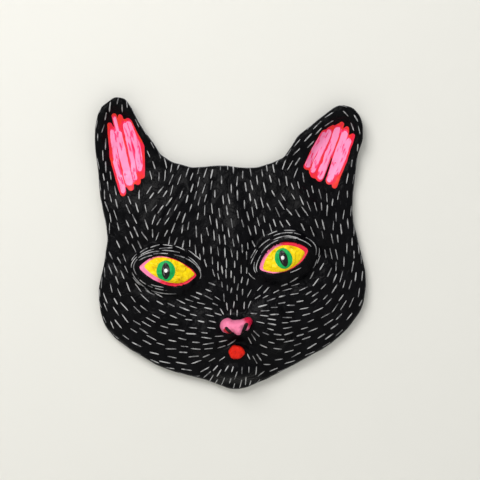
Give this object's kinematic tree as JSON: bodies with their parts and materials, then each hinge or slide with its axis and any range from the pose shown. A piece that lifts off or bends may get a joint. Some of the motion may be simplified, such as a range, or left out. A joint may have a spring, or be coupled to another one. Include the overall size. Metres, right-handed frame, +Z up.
{
  "type": "mexican folk art mask",
  "caption": "Hollow wall-hung cat mask of painted layered paper, with dished ears, modelled eyes, muzzle and nose, and a swinging wire ring at its back.",
  "frame": {"origin": "where the nail that carries the mask meets the wall plane, which is the plane of the mask's back edge", "axes": "+Z up, +Y into the wall, +X to the right of a viewer who faces the mask"},
  "size_m": [0.2506, 0.0402, 0.2705],
  "materials": {
    "black_paper": "satin black acrylic paint on layered paper",
    "hair_paint": "matte grey brush strokes",
    "bare_paper": "unpainted brown paper, pasted in layers",
    "ear_paint": "pink strokes over red on card",
    "eye_paint": "yellow gloss paint",
    "iris_paint": "green gloss paint",
    "pupil_paint": "black gloss paint",
    "spark_paint": "white paint dot",
    "rim_paint": "red and pink line round the eyes",
    "nose_paint": "pink paint over red",
    "tongue_paint": "red paint",
    "strap_cloth": "cotton tape",
    "ring_wire": "zinc-plated wire"
  },
  "bodies": {
    "mask": {"face_shell": "black_paper", "rim_band": "bare_paper", "ear_left": "black_paper", "ear_right": "black_paper", "ear_lining_left": "ear_paint", "ear_lining_right": "ear_paint", "brow_left": "black_paper", "brow_right": "black_paper", "nose_bridge": "black_paper", "eyeball_left": "eye_paint", "eyeball_right": "eye_paint", "upper_lid_left": "black_paper", "upper_lid_right": "black_paper", "lower_lid_left": "black_paper", "lower_lid_right": "black_paper", "muzzle_left": "black_paper", "muzzle_right": "black_paper", "nose": "nose_paint", "tongue": "tongue_paint", "chin": "black_paper", "ring_strap": "strap_cloth", "strap_patch": "bare_paper"},
    "ring": {"hanging_ring": "ring_wire"}
  },
  "joints": [
    {"name": "ring_swing", "type": "hinge", "parent": "mask", "child": "ring", "pos_m": [0, -0.00941, -0.00889], "axis": [1, 0, 0], "range_deg": [0, 165]}
  ]
}
